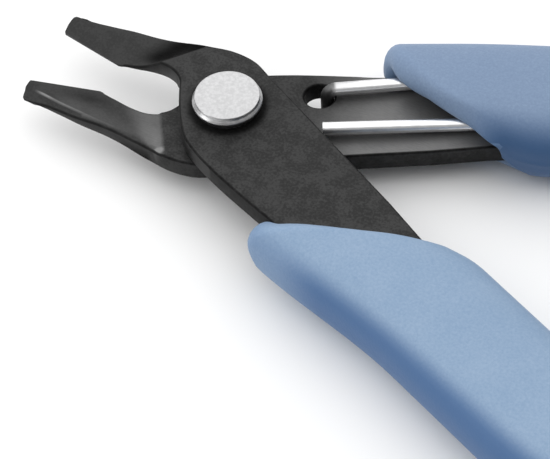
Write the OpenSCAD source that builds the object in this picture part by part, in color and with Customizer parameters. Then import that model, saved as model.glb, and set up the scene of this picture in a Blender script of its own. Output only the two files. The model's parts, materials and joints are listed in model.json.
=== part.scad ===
// Flush cutter: two flat crossing levers on one pivot, a wire return spring and two cushion grips.
// +X runs along the closed tool's centre line towards the handles, and +Z out of the pivot's head.
// The origin is on the pivot's axis, in the plane where the two levers slide on each other.
// Each lever is drawn closed and then turned back to the fully open rest position.

/* [Levers] */
// Thickness of each lever plate
plate_t = 2.6; // [2.2:0.1:3]
// Angle that each lever turns back from closed to open
half_swing = 9.5; // [7:0.5:9.5]
// Half width of the tang inside each grip
tang_half = 5.4; // [4:0.2:5.6]
// Radius of the spring's anchor hole in the rear lever
anchor_hole_r = 1.9; // [1.6:0.1:2]

/* [Jaws] */
// Distance from the pivot to the jaw tips
jaw_reach = 25.4; // [24:0.2:27]
// Length of the straight cutting edge
edge_len = 8.8; // [8:0.2:10]
// How far each cutting edge passes the middle at its root, with the jaws closed
edge_pass = 0.48; // [0:0.02:0.5]
// Thickness of the jaw at its cutting edge
edge_t = 0.45; // [0.3:0.05:0.8]
// Angle of the bevel that rises from the cutting edge
bevel_angle = 18; // [14:1:24]

/* [Pivot] */
// Radius of the bolt's flat head
head_r = 4.2; // [3.8:0.1:4.6]
// Height of the bolt's head
head_h = 1.9; // [1.4:0.1:2.2]
// Radius of the bolt's barrel, on which both levers turn
barrel_r = 2.75; // [2.4:0.05:3]
// Radial clearance of the barrel in the levers
running_gap = 0.05; // [0.02:0.01:0.08]
// Thickness of the rear washer
washer_t = 0.5; // [0.4:0.1:0.8]
// Height of the rear screw's head
screw_head_h = 1.3; // [1:0.1:1.5]

/* [Spring] */
// Radius of the spring wire
wire_r = 0.8; // [0.6:0.05:0.85]
// Radius of the wire's centre line round the bend
bend_r = 4; // [3.6:0.1:4.2]

/* [Grips] */
// Distance from a grip's centre line to its inner side
grip_inner_w = 8.4; // [8:0.1:8.8]
// Distance from a grip's centre line to its outer side, away from the mouth
grip_outer_w = 7.7; // [7.4:0.1:8.2]
// Half thickness of a grip at the mouth
grip_half_t = 5.3; // [5:0.1:5.5]
// How far a grip's middle plane lies from the plane where the levers slide
grip_mid = 0.2; // [0:0.1:0.4]
// How much wider the outer side is at the mouth
lip_flare = 2.1; // [1:0.1:2.4]
// Length of a grip along its centre line
grip_len = 90; // [84:1:94]

/* [Hidden] */
$fn = 96;

// Handle centre line, closed: a straight stretch, then an arc that curves back to the middle.
handle_start = [15.9, -5.5];
handle_angle = -15.7;
straight_len = 37.5;
arc_r = 85;
function along(p, a, d) = p + d * [cos(a), sin(a)];
function side(a) = [-sin(a), cos(a)];
arc_start = along(handle_start, handle_angle, straight_len);
arc_centre = arc_start + arc_r * side(handle_angle);
function handle_dir(s) = handle_angle + max(0, s - straight_len) / arc_r * 180 / PI;
function handle_at(s) = s <= straight_len
    ? along(handle_start, handle_angle, s)
    : arc_centre - arc_r * side(handle_dir(s));
function beside(s, d) = handle_at(s) + d * side(handle_dir(s));

// A smooth curve through a list of points (Catmull-Rom), with n steps between two points.
function blend4(a, b, c, d, t) = 0.5 * (2 * b + (c - a) * t
    + (2 * a - 5 * b + 4 * c - d) * t * t + (3 * b - a - 3 * c + d) * t * t * t);
function smooth(p, n = 6) = [for (i = [0 : len(p) - 2], k = [0 : n - 1])
    blend4(p[max(0, i - 1)], p[i], p[i + 1], p[min(len(p) - 1, i + 2)], k / n)];

// Lever outline, closed: cutting edge, throat relief, hub, outer edge, tang, inner edge, jaw back.
edge_root = edge_len - jaw_reach;
throat_side = [[edge_root, -edge_pass], [-15.4, -0.1], [-14.3, 0.22], [-12.6, 0.75], [-10.8, 1.1],
    [-9.5, 1.1], [-8.3, 0.75], [-7.4, 0.1], [-6.6, -1], [-5, -3.1], [-3.4, -4.9], [-1.2, -6.9],
    [1.6, -8.2], [4.8, -9.2], [8, -10], [12, -10.9], [16, -11.8],
    beside(12, -6.2), beside(20, -tang_half)];
inner_edge = [beside(22, tang_half), [31, -4.1], [24.4, -1.5], [18.4, 0.6], [0.9, 6.8]];
back_side = [[0.9, 6.8], [-1.8, 7.7], [-5, 7.65], [-8.4, 6.55], [-13.4, 5.05], [-18.3, 4.05], [-22.2, 3.1]];
tip_back = [[-jaw_reach + 0.05, 2.35], [-jaw_reach - 0.36, 1.85], [-jaw_reach - 0.33, 1]];
tang_end_s = 78;
tang_steps = [for (s = [24 : 3 : tang_end_s]) s];
// The tang from one side round its end to the other, with half width r
function tang_loop(r) = concat(
    [for (s = tang_steps) beside(s, -r)],
    [for (a = [-75 : 15 : 75]) along(handle_at(tang_end_s), handle_dir(tang_end_s) + a, r)],
    [for (i = [len(tang_steps) - 1 : -1 : 0]) beside(tang_steps[i], r)]);
module lever_outline() {
    polygon(concat(
        [[-jaw_reach, 0]],
        smooth(throat_side),
        tang_loop(tang_half),
        inner_edge,
        smooth(back_side),
        [back_side[len(back_side) - 1]], tip_back));
}
// Ground hollow of the jaw's upper side: x and height above the cutting edge, before it is tilted
bevel_profile = [[-30, 0], [-13, 0], [-10.5, 0.4], [-8, 1.6], [-8, 6], [-30, 6]];
// Line on the shear plane outside which the jaw's outer side falls away
ridge_start = [-jaw_reach - 0.4, 1];
ridge_angle = 16.1;
ridge_fall = 40;
// One lever, lying on the plane z = 0, with its jaw ground to a wedge on the upper side.
module lever_plate() {
    difference() {
        linear_extrude(plate_t) lever_outline();
        translate([0, 0, edge_t]) rotate([bevel_angle, 0, 0]) translate([0, 12, 0]) rotate([90, 0, 0])
            linear_extrude(16) polygon(bevel_profile);
        translate([ridge_start[0], ridge_start[1], 0]) rotate([0, 0, ridge_angle]) rotate([ridge_fall, 0, 0])
            translate([-3, 0, -5]) cube([22, 6, 5]);
        translate([0, 0, -1]) cylinder(h = plate_t + 2, r = barrel_r + running_gap);
    }
}
// Turns a closed front part back to rest, and mirrors it to the rear side of the tool.
module front_side() { rotate([0, 0, -half_swing]) children(); }
module rear_side() { rotate([180, 0, half_swing]) children(); }

anchor_hole = [7.9, 8];
module front_lever() color([0.16, 0.16, 0.17]) front_side() lever_plate();
module rear_lever() color([0.2, 0.2, 0.21]) difference() {
    rear_side() lever_plate();
    translate([anchor_hole[0], anchor_hole[1], -plate_t - 1]) cylinder(h = plate_t + 2, r = anchor_hole_r);
}

// Pivot: a headed barrel from the front and a slotted screw into it from the back.
thread_r = 1.6;
thread_top = 1.4;
head_chamfer = 0.5;
stack_z = -plate_t - washer_t;
module pivot_bolt() color([0.86, 0.86, 0.87]) difference() {
    union() {
        translate([0, 0, stack_z]) cylinder(h = plate_t - stack_z, r = barrel_r);
        translate([0, 0, plate_t]) cylinder(h = head_h - head_chamfer, r = head_r);
        translate([0, 0, plate_t + head_h - head_chamfer])
            cylinder(h = head_chamfer, r1 = head_r, r2 = head_r - head_chamfer);
    }
    translate([0, 0, stack_z - 1]) cylinder(h = thread_top - stack_z + 1, r = thread_r + running_gap);
}
screw_head_r = 3.9;
slot_w = 0.9;
slot_d = 0.7;
module pivot_screw() color([0.8, 0.8, 0.82]) difference() {
    union() {
        translate([0, 0, stack_z]) cylinder(h = thread_top - stack_z - 0.4, r = thread_r);
        translate([0, 0, stack_z - screw_head_h])
            cylinder(h = head_chamfer, r1 = screw_head_r - head_chamfer, r2 = screw_head_r);
        translate([0, 0, stack_z - screw_head_h + head_chamfer])
            cylinder(h = screw_head_h - head_chamfer, r = screw_head_r);
    }
    translate([-5, -slot_w / 2, stack_z - screw_head_h - 1]) cube([10, slot_w, slot_d + 1]);
}
washer_r = 4.6;
module rear_washer() color([0.6, 0.6, 0.62]) difference() {
    translate([0, 0, stack_z]) cylinder(h = washer_t, r = washer_r);
    translate([0, 0, stack_z - 1]) cylinder(h = washer_t + 2, r = barrel_r + running_gap);
}

// Return spring: a hairpin in the front lever's layer, hooked into the rear lever's anchor hole.
wire_z = 1.1;
wire_sides = 16;
bend_centre = [35, 19.3];
hook = anchor_hole + [0.92, 0.48];
tip = [11.2, 2.63];
function polar(v) = atan2(v[1], v[0]);
// Angle round the bend at which a straight wire from point p meets it; turn is +1 or -1.
function tangent_angle(p, turn) = polar(p - bend_centre) + turn * acos(bend_r / norm(p - bend_centre));
hook_leg_angle = tangent_angle(hook, -1);
tip_leg_angle = tangent_angle(tip, 1) - 360;
apex_angle = (hook_leg_angle + tip_leg_angle) / 2;
// Angle left free on each side of the bend's apex, where the moving leg turns
apex_gap = 0.18 / bend_r * 180 / PI;
bend_steps = 9;
function on_bend(from, to) = [for (k = [0 : bend_steps])
    let (a = from + (to - from) * k / bend_steps) bend_centre + bend_r * [cos(a), sin(a)]];
function level(path) = [for (p = path) [p[0], p[1], wire_z]];
function unit(v) = v / norm(v);
// Sweeps the wire along a path; a and b are a ring's two directions at each point.
module wire(path) {
    n = len(path);
    function heading(i) = unit(path[min(n - 1, i + 1)] - path[max(0, i - 1)]);
    function ring(i) = let (h = heading(i), a = unit(cross(h, [0.3, -0.5, 0.05])), b = cross(h, a))
        [for (k = [0 : wire_sides - 1]) let (t = k * 360 / wire_sides)
            path[i] + wire_r * (a * cos(t) + b * sin(t))];
    polyhedron(
        points = [for (i = [0 : n - 1]) each ring(i)],
        faces = concat(
            [for (i = [0 : n - 2], k = [0 : wire_sides - 1]) each
                let (c = i * wire_sides, j = (k + 1) % wire_sides,
                d = c + wire_sides) [[c + k, d + j, c + j], [c + k, d + k, d + j]]],
            [[for (k = [0 : wire_sides - 1]) k]],
            [[for (k = [wire_sides - 1 : -1 : 0]) (n - 1) * wire_sides + k]]));
}
hook_low = -2.3;
elbow = 1.2;
module spring_anchor_leg() color([0.93, 0.93, 0.93]) {
    away = unit(on_bend(hook_leg_angle, 0)[0] - hook);
    wire(concat(
        [[hook[0], hook[1], hook_low]],
        [for (a = [0 : 22.5 : 90]) let (p = hook + elbow * (1 - cos(a)) * away)
            [p[0], p[1], wire_z - elbow * (1 - sin(a))]],
        level(on_bend(hook_leg_angle, apex_angle + apex_gap))));
}
module spring_moving_leg() color([0.93, 0.93, 0.93])
    wire(level(concat([tip], on_bend(tip_leg_angle, apex_angle - apex_gap))));

// Grips: one swept sleeve with rounded sections, cut diagonally at its mouth.
ring_points = 32;
section_power = 2.6;
function superellipse(a) = [sign(cos(a)) * pow(abs(cos(a)), 2 / section_power),
                            sign(sin(a)) * pow(abs(sin(a)), 2 / section_power)];
function fade(s, a, b) = let (t = min(1, max(0, (s - a) / (b - a)))) t * t * (3 - 2 * t);
// Rounding of the closed end: 1 along the grip, falling to 0 over the last stretch.
end_round = 9;
function end_scale(s) = let (t = max(0, s - grip_len + end_round) / end_round) sqrt(max(0.0004, 1 - t * t));
// The flare runs out between two places along the grip.
front_flare = [0, 24];
rear_flare = [10, 50];
function outer_half(s, run) =
    (grip_outer_w + lip_flare * (1 - fade(s, run[0], run[1])) - 0.9 * fade(s, 60, 84))
    * end_scale(s);
function inner_half(s) = (grip_inner_w - 0.9 * fade(s, 60, 84)) * end_scale(s);
function half_t(s) = (grip_half_t - 0.6 * fade(s, 0, 40)) * end_scale(s);
ring_s = concat([for (s = [0 : 3 : grip_len - end_round]) s],
                [for (k = [1 : 8]) grip_len - end_round + end_round * sin(k * 90 / 8)]);
function ring_point(s, e, run) =
    let (p = beside(s, e[0] > 0 ? e[0] * inner_half(s) : e[0] * outer_half(s, run)))
    [p[0], p[1], grip_mid + e[1] * half_t(s)];
module sleeve_body(run) {
    n = len(ring_s);
    polyhedron(
        points = [for (s = ring_s, k = [0 : ring_points - 1])
            ring_point(s, superellipse(k * 360 / ring_points), run)],
        faces = concat(
            [for (i = [0 : n - 2], k = [0 : ring_points - 1]) each let (a = i * ring_points,
                j = (k + 1) % ring_points, b = a + ring_points)
                [[a + k, a + j, b + j], [a + k, b + j, b + k]]],
            [[for (k = [ring_points - 1 : -1 : 0]) k]],
            [[for (k = [0 : ring_points - 1]) (n - 1) * ring_points + k]]));
}
mouth_outer = [15.9, -16];
mouth_inner = [32.5, -4.6];
fit_gap = 0.03;
module mouth_cut() {
    reach = 20 * (mouth_inner - mouth_outer) / norm(mouth_inner - mouth_outer);
    back = 30 * side(polar(reach));
    translate([0, 0, -15]) linear_extrude(30)
        polygon([mouth_outer - reach, mouth_inner + reach,
            mouth_inner + reach + back, mouth_outer - reach + back]);
}
module sleeve(run) {
    difference() {
        sleeve_body(run);
        mouth_cut();
        tang_pocket();
    }
}
module tang_pocket() {
    wide = 6.6;
    translate([0, 0, -fit_gap]) linear_extrude(plate_t + 2 * fit_gap)
        polygon(concat([beside(-12, -wide), beside(18, -wide)], tang_loop(tang_half + fit_gap),
            [beside(18, wide), beside(-12, wide)]));
}
// Room for the spring inside the rear grip, in the layer above the rear lever.
pocket_top = 2.05;
module spring_pocket() {
    linear_extrude(pocket_top) polygon([[8, 2], [20, 4], [36, 12.6], [40.4, 16.6], [40.4, 22], [36.6, 24.6],
        [32.6, 24.3], [11, 11.4]]);
}
module front_grip() color([0.57, 0.67, 0.8]) front_side() sleeve(front_flare);
module rear_grip() color([0.57, 0.67, 0.8]) difference() {
    rear_side() sleeve(rear_flare);
    spring_pocket();
}

front_lever();
rear_lever();
pivot_bolt();
pivot_screw();
rear_washer();
spring_anchor_leg();
spring_moving_leg();
front_grip();
rear_grip();
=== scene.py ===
"""Looks of a flush cutter: two stamped steel levers, a flat-headed pivot, a wire spring and cushion grips.

Every sub-assembly is a class that builds its own meshes in millimetres and places them in the CAD frame.
A lever and its grip are drawn closed, as in the design, and then turned back to rest.
"""
import json
import logging
import math
from dataclasses import dataclass, field
from enum import Enum
from typing import Callable, Sequence

import bmesh
import bpy
import numpy as np
from mathutils import Matrix, Vector
from mathutils.geometry import delaunay_2d_cdt


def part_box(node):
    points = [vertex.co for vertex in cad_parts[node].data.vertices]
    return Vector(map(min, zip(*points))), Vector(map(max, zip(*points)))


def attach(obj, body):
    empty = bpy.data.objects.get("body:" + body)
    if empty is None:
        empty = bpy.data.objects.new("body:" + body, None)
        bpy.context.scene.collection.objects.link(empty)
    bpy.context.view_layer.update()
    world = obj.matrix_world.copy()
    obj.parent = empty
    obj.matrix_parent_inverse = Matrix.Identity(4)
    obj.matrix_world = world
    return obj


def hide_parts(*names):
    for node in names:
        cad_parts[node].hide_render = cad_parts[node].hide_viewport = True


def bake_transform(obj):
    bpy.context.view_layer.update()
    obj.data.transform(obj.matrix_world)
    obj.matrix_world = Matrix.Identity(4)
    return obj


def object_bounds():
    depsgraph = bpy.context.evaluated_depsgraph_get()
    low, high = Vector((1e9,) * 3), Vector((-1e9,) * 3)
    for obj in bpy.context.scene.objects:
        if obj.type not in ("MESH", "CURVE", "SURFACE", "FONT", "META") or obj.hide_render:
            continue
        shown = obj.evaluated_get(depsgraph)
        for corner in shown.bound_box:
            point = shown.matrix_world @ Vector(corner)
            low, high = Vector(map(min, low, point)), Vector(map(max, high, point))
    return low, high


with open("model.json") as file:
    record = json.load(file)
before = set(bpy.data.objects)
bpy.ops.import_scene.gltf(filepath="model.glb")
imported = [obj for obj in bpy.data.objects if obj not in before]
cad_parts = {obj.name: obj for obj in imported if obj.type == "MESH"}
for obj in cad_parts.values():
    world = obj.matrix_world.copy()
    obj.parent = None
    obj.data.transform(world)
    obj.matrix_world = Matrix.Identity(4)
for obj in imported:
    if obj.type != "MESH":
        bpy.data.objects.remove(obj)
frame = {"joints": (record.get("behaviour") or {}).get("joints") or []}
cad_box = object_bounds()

LOG = logging.getLogger("flush_cutter")
MM = 0.001
Point2 = tuple[float, float]
Point3 = tuple[float, float, float]


# ---------- measures taken from the frame

def node_box_mm(node: str) -> tuple[Vector, Vector]:
    """Returns a CAD node's lowest and highest corners in millimetres."""
    low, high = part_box(node)
    return low / MM, high / MM


PLATE_T = -node_box_mm("rear_lever")[0].z
BOLT_LOW, BOLT_HIGH = node_box_mm("pivot_bolt")
HEAD_TOP, HEAD_R, BARREL_END = BOLT_HIGH.z, BOLT_HIGH.x, BOLT_LOW.z
SCREW_END, SCREW_HEAD_R = node_box_mm("pivot_screw")[0].z, node_box_mm("pivot_screw")[1].x
WASHER_R = node_box_mm("rear_washer")[1].x
GRIP_LOW, GRIP_HIGH = node_box_mm("front_grip")
GRIP_HALF_T = (GRIP_HIGH.z - GRIP_LOW.z) / 2
GRIP_MIDDLE = (GRIP_HIGH.z + GRIP_LOW.z) / 2
REST_LOW_Z = cad_box[0][2]
HINGE = next(j for j in frame["joints"] if j["name"] == "main_pivot")
HALF_SWING = math.radians(HINGE["range_deg"][1] / 2)


class Side(Enum):
    """Which lever a piece belongs to; the value is its CAD body."""

    FRONT = "front_side"
    REAR = "rear_side"

    def place(self, x: float, y: float, z: float) -> Vector:
        """Takes a point of the closed front drawing to its place at rest.

        Args:
            x, y, z: the point in millimetres, with z = 0 on the plane where the levers slide.
        Returns:
            The point in metres in the row frame.
        """
        turn = -HALF_SWING if self is Side.FRONT else HALF_SWING
        if self is Side.REAR:
            y, z = -y, -z
        c, s = math.cos(turn), math.sin(turn)
        return Vector((x * c - y * s, x * s + y * c, z)) * MM

    def unplace(self, x: float, y: float) -> Point2:
        """Takes a plan point at rest, in millimetres, back to the closed front drawing."""
        turn = HALF_SWING if self is Side.FRONT else -HALF_SWING
        c, s = math.cos(turn), math.sin(turn)
        u, v = x * c - y * s, x * s + y * c
        return (u, -v) if self is Side.REAR else (u, v)


# ---------- small mesh and curve helpers

def fade(v: float, low: float, high: float) -> float:
    """Smooth step from 0 at low to 1 at high."""
    t = min(1.0, max(0.0, (v - low) / (high - low)))
    return t * t * (3 - 2 * t)


def plateau(v: float, start: float, full: float, leave: float, end: float) -> float:
    """Rises from 0 at start to 1 at full, and falls from 1 at leave to 0 at end."""
    return fade(v, start, full) * (1 - fade(v, leave, end))


def polar(r: float, angle: float) -> Point2:
    """Point at a distance from the origin in a direction."""
    return r * math.cos(angle), r * math.sin(angle)


def parabola(terms: Point3, d: float) -> float:
    """Value at d of the parabola with those terms, the constant one first."""
    return terms[0] + terms[1] * d + terms[2] * d * d


def past(x: float, y: float, line: tuple[Point2, Point2]) -> float:
    """How far a point lies past a line, which is one of its points and the direction across it."""
    (px, py), (dx, dy) = line
    return (x - px) * dx + (y - py) * dy


def smooth_curve(points: Sequence[Point2], steps: int) -> list[Point2]:
    """Runs a Catmull-Rom curve through points.

    Args:
        points: the points that shape the curve.
        steps: how many stretches lie between two points.
    Returns:
        The curve's points, without the last one.
    """
    p = [np.array(q, float) for q in points]
    out: list[Point2] = []
    for i in range(len(p) - 1):
        a, b, c, d = p[max(0, i - 1)], p[i], p[i + 1], p[min(len(p) - 1, i + 2)]
        for k in range(steps):
            t = k / steps
            q = 0.5 * (2 * b + (c - a) * t + (2 * a - 5 * b + 4 * c - d) * t ** 2
                       + (3 * b - a - 3 * c + d) * t ** 3)
            out.append((float(q[0]), float(q[1])))
    return out


def resample(loop: Sequence[Point2], spacing: Callable[[float], float]) -> list[Point2]:
    """Splits the long stretches of a closed loop.

    Args:
        loop: the loop's points in order.
        spacing: gives the greatest stretch allowed at an x.
    Returns:
        The loop with points added on its straight stretches.
    """
    out: list[Point2] = []
    for i, a in enumerate(loop):
        b = loop[(i + 1) % len(loop)]
        n = max(1, math.ceil(math.dist(a, b) / spacing((a[0] + b[0]) / 2)))
        out += [(a[0] + (b[0] - a[0]) * k / n, a[1] + (b[1] - a[1]) * k / n) for k in range(n)]
    return out


def into_scene(name: str, data: bpy.types.ID) -> bpy.types.Object:
    """Makes an object of a mesh, curve, camera or light and links it."""
    made = bpy.data.objects.new(name, data)
    bpy.context.scene.collection.objects.link(made)
    return made


def settled_mesh(source: bpy.types.Object) -> bpy.types.Mesh:
    """The plain mesh that an object's modifiers come to."""
    bpy.context.view_layer.update()
    return bpy.data.meshes.new_from_object(source.evaluated_get(bpy.context.evaluated_depsgraph_get()))


def new_piece(name: str, vertices: Sequence[Vector], faces: Sequence[Sequence[int]],
              material: bpy.types.Material) -> bpy.types.Object:
    """Makes a smooth-shaded mesh object at the origin.

    Args:
        name: the piece's name.
        vertices: places in metres.
        faces: vertex numbers of each face.
        material: the piece's finish.
    Returns:
        The linked object.
    """
    mesh = bpy.data.meshes.new(name)
    mesh.from_pydata([tuple(v) for v in vertices], [], [list(f) for f in faces])
    mesh.validate()
    for polygon in mesh.polygons:
        polygon.use_smooth = True
    mesh.materials.append(material)
    return into_scene(name, mesh)


def turn_outwards(piece: bpy.types.Object) -> None:
    """Merges doubles and points every face of a closed piece outwards."""
    bm = bmesh.new()
    bm.from_mesh(piece.data)
    bmesh.ops.remove_doubles(bm, verts=bm.verts, dist=1e-7)
    bmesh.ops.recalc_face_normals(bm, faces=bm.faces)
    bm.to_mesh(piece.data)
    bm.free()


def crisp(piece: bpy.types.Object, degrees: float) -> None:
    """Keeps edges sharper than an angle crisp in the shading."""
    piece.data.set_sharp_from_angle(angle=math.radians(degrees))


def paint(piece: bpy.types.Object, name: str, values: Sequence[float]) -> None:
    """Stores one number per vertex as an attribute that a finish can read."""
    layer = piece.data.attributes.new(name, "FLOAT", "POINT")
    layer.data.foreach_set("value", list(values))


def lathe(name: str, profile: Sequence[Point2], material: bpy.types.Material,
          segments: int = 96) -> bpy.types.Object:
    """Turns a profile about the pivot's axis.

    Args:
        name: the piece's name.
        profile: radius and height in millimetres, from one end of the axis to the other.
        material: the piece's finish.
        segments: how many steps make the turn.
    Returns:
        The closed piece.
    """
    vertices: list[Vector] = []
    rows: list[list[int]] = []
    for r, z in profile:
        if r < 1e-6:
            rows.append([len(vertices)])
            vertices.append(Vector((0, 0, z)) * MM)
            continue
        rows.append(list(range(len(vertices), len(vertices) + segments)))
        vertices += [Vector((*polar(r, 2 * math.pi * k / segments), z)) * MM for k in range(segments)]
    faces: list[list[int]] = []
    last = [rows[0]] if len(rows[0]) > 1 else []
    for a, b in zip(rows, rows[1:] + last):
        for k in range(segments):
            corners = (a[k % len(a)], b[k % len(b)], b[(k + 1) % len(b)], a[(k + 1) % len(a)])
            faces.append(list(dict.fromkeys(corners)))
    piece = new_piece(name, vertices, faces, material)
    turn_outwards(piece)
    return piece


# ---------- shader maths

class Term:
    """A shader value that adds Math nodes when Python operators are used on it."""

    def __init__(self, shop: "Shop", socket: bpy.types.NodeSocket) -> None:
        """Wraps a socket of a material that shop is making."""
        self.shop = shop
        self.socket = socket

    def _math(self, operation: str, a: "Term | float", b: "Term | float") -> "Term":
        """Adds one Math node and returns its result."""
        return self.shop.add("ShaderNodeMath", {"operation": operation}, {0: a, 1: b})

    def __add__(self, other: "Term | float") -> "Term":
        """self + other"""
        return self._math("ADD", self, other)

    __radd__ = __add__

    def __sub__(self, other: "Term | float") -> "Term":
        """self - other"""
        return self._math("SUBTRACT", self, other)

    def __rsub__(self, other: "Term | float") -> "Term":
        """other - self"""
        return self._math("SUBTRACT", other, self)

    def __mul__(self, other: "Term | float") -> "Term":
        """self * other"""
        return self._math("MULTIPLY", self, other)

    __rmul__ = __mul__

    def band(self, low: float, high: float) -> "Term":
        """Smooth step of this value from 0 at low to 1 at high."""
        return self.shop.add("ShaderNodeMapRange", {"interpolation_type": "SMOOTHSTEP"},
                             {"Value": self, "From Min": low, "From Max": high})


class Shop:
    """Builds the node tree of one material around a Principled shader."""

    def __init__(self, name: str) -> None:
        """Starts a material with that name."""
        self.material = bpy.data.materials.new(name)
        self.material.use_nodes = True
        self.tree = self.material.node_tree
        self.surface = self.tree.nodes["Principled BSDF"]

    def add(self, kind: str, settings: dict[str, object], sockets: dict[int | str, object],
            output: int | str = 0) -> Term:
        """Adds a node.

        Args:
            kind: the node's type.
            settings: properties such as operation, set before its sockets.
            sockets: values or terms of its input sockets, by name or number.
            output: the socket to return.
        Returns:
            The chosen output as a term.
        """
        node = self.tree.nodes.new(kind)
        for key, value in settings.items():
            setattr(node, key, value)
        for key, value in sockets.items():
            self._feed(node.inputs[key], value)
        return Term(self, node.outputs[output])

    def _feed(self, socket: bpy.types.NodeSocket, value: object) -> None:
        """Links a term to a socket, or sets its value."""
        if isinstance(value, Term):
            self.tree.links.new(value.socket, socket)
        elif isinstance(value, tuple) and socket.type == "RGBA":
            socket.default_value = (*value, 1.0)
        else:
            socket.default_value = value

    def set(self, **sockets: object) -> None:
        """Feeds the Principled shader; underscores in a name stand for spaces."""
        for key, value in sockets.items():
            self._feed(self.surface.inputs[key.replace("_", " ")], value)

    def place(self, stretch: Point3 = (1, 1, 1), turn: float = 0.0) -> Term:
        """Object coordinates, stretched, and turned about the pivot's axis by an angle in radians."""
        where = self.add("ShaderNodeTexCoord", {}, {}, "Object")
        return self.add("ShaderNodeMapping", {},
                        {"Vector": where, "Rotation": (0, 0, turn), "Scale": stretch})

    def noise(self, where: Term, size_mm: float, detail: float = 3.0, rough: float = 0.55) -> Term:
        """Noise of about the given feature size, from 0 to 1."""
        return self.add("ShaderNodeTexNoise", {}, {"Vector": where, "Scale": 1 / (size_mm * MM),
                                                   "Detail": detail, "Roughness": rough}, "Fac")

    def attribute(self, name: str) -> Term:
        """A per-vertex number stored on the piece."""
        return self.add("ShaderNodeAttribute", {"attribute_name": name}, {}, "Fac")

    def mix(self, amount: Term, a: object, b: object) -> Term:
        """Mixes two colours."""
        return self.add("ShaderNodeMix", {"data_type": "RGBA"}, {0: amount, 6: a, 7: b}, 2)

    def bump(self, height: Term, depth_mm: float, strength: float = 1.0, below: Term | None = None) -> Term:
        """Turns a height into a normal, over another normal if one is given."""
        sockets = {"Height": height, "Distance": depth_mm * MM, "Strength": strength}
        if below is not None:
            sockets["Normal"] = below
        return self.add("ShaderNodeBump", {}, sockets)


@dataclass(frozen=True)
class BlackOxide:
    """Blackened stamped steel: fine matt grain and faint blotches, with painted highlights on the jaw and
    painted shade on the edges and in the hollows.
    """

    name: str = "blackened_steel"
    dark: Point3 = (0.010, 0.010, 0.010)
    light: Point3 = (0.031, 0.031, 0.031)
    ground: Point3 = (0.022, 0.022, 0.022)
    painted_light_tone: Point3 = (0.19, 0.19, 0.19)
    painted_shade: Point3 = (0.003, 0.003, 0.003)
    grind_angle: float = 1.1

    def make(self) -> bpy.types.Material:
        """Returns the material."""
        shop = Shop(self.name)
        plain = shop.place()
        blotch = shop.noise(plain, 2.4, 4).band(0.36, 0.66)
        grain = shop.noise(plain, 0.32, 3, 0.62)
        stroke = shop.noise(shop.place((1.0, 14.0, 1.0), self.grind_angle), 1.1, 3, 0.6)
        ground = shop.attribute("ground")
        # Per-vertex masks: painted shade on the edges, painted shade in the hollows and painted highlights,
        # in that order.
        edge, deep, painted_light = shop.attribute("edge"), shop.attribute("deep"), shop.attribute("painted_light")
        colour = shop.mix(blotch.band(0.1, 0.9) * 0.6 + (grain - 0.5) * 4.0 + 0.2, self.dark, self.light)
        colour = shop.mix(ground * (0.25 + stroke * 0.5), colour, self.ground)
        # Painted highlights: a lighter steel tone where light catches the jaw.
        colour = shop.mix(painted_light * (0.55 + stroke * 0.9), colour, self.painted_light_tone)
        # Painted shade: edges and hollows darkened to near black.
        shade = edge * (0.85 - 0.5 * shop.noise(plain, 0.8, 3)) + deep * (0.5 + 0.4 * stroke)
        colour = shop.mix(shade, colour, self.painted_shade)
        rough = 0.5 - ground * 0.08 + (grain - 0.5) * 0.2 + shade * 0.25 - painted_light * 0.1
        fine = shop.bump(grain, 0.012, 0.45)
        stroked = shop.bump(stroke * ground, 0.02, 0.5, fine)
        shop.set(Base_Color=colour, Metallic=0.55 + shade.band(0.0, 1.0) * 0.45, Roughness=rough,
                 Normal=stroked)
        return shop.material


@dataclass(frozen=True)
class SatinSteel:
    """Bright steel with a satin turned face: circular tool marks over a fine mottle."""

    name: str = "bright_steel"
    light: Point3 = (0.55, 0.55, 0.555)
    dull: Point3 = (0.45, 0.45, 0.455)
    ring_pitch_mm: float = 0.11
    roughness: float = 0.34

    def make(self) -> bpy.types.Material:
        """Returns the material."""
        shop = Shop(self.name)
        where = shop.place()
        mottle = shop.noise(where, 0.42, 4, 0.65)
        speck = shop.noise(where, 0.12, 2, 0.6)
        rings = shop.add("ShaderNodeTexWave", {"wave_type": "RINGS", "rings_direction": "Z"},
                         {"Vector": where, "Scale": 0.1 / (self.ring_pitch_mm * MM), "Distortion": 0.4,
                          "Detail": 1.0, "Detail Scale": 2.0}, "Fac")
        colour = shop.mix(mottle.band(0.35, 0.7), self.dull, self.light)
        shop.set(Base_Color=colour, Metallic=1.0,
                 Roughness=self.roughness + (mottle - 0.5) * 0.3 + (speck - 0.5) * 0.1,
                 Normal=shop.bump(rings * 0.35 + speck * 0.65, 0.008, 0.35))
        return shop.material


@dataclass(frozen=True)
class PlainZinc:
    """Dull plated washer steel with faint spangle."""

    name: str = "washer_steel"
    light: Point3 = (0.56, 0.57, 0.58)
    dark: Point3 = (0.36, 0.37, 0.38)

    def make(self) -> bpy.types.Material:
        """Returns the material."""
        shop = Shop(self.name)
        where = shop.place()
        spangle = shop.noise(where, 0.8, 3)
        speck = shop.noise(where, 0.1, 2)
        shop.set(Base_Color=shop.mix(spangle.band(0.3, 0.7), self.dark, self.light), Metallic=1.0,
                 Roughness=0.36 + spangle * 0.18, Normal=shop.bump(speck, 0.006, 0.4))
        return shop.material


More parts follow.
